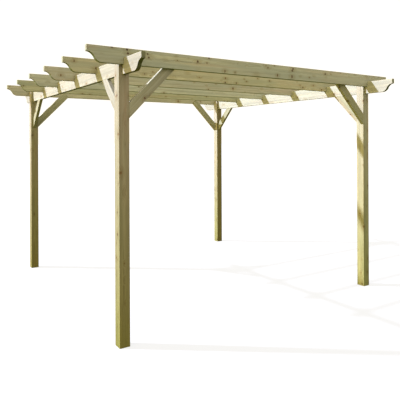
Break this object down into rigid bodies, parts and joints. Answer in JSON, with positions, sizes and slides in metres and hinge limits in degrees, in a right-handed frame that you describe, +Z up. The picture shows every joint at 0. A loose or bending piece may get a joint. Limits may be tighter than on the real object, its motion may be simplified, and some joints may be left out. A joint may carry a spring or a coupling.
{
  "type": "garden pergola",
  "caption": "Free-standing wooden pergola: slotted posts carry side beams, rafters with scroll ends are notched over them, and diagonal knee braces stiffen the corners.",
  "frame": {"origin": "on the ground, at the centre of the four posts", "axes": "+X along the rafters to the right, +Y along the side beams to the back, +Z up"},
  "size_m": [3.6, 3.6, 2.37],
  "materials": {
    "post": "pressure-treated planed softwood, matt",
    "beam": "pressure-treated planed softwood, matt",
    "rafter": "pressure-treated planed softwood, matt",
    "cross_brace": "pressure-treated planed softwood, matt",
    "side_brace": "pressure-treated planed softwood, matt",
    "screws": "zinc-plated screw heads, satin"
  },
  "bodies": {
    "root": {"front_left_post": "post", "front_right_post": "post", "back_left_post": "post", "back_right_post": "post", "left_beam": "beam", "right_beam": "beam", "front_rafter": "rafter", "second_rafter": "rafter", "third_rafter": "rafter", "fourth_rafter": "rafter", "fifth_rafter": "rafter", "back_rafter": "rafter", "front_left_cross_brace": "cross_brace", "front_right_cross_brace": "cross_brace", "back_left_cross_brace": "cross_brace", "back_right_cross_brace": "cross_brace", "front_left_side_brace": "side_brace", "front_right_side_brace": "side_brace", "back_left_side_brace": "side_brace", "back_right_side_brace": "side_brace"}
  },
  "joints": []
}
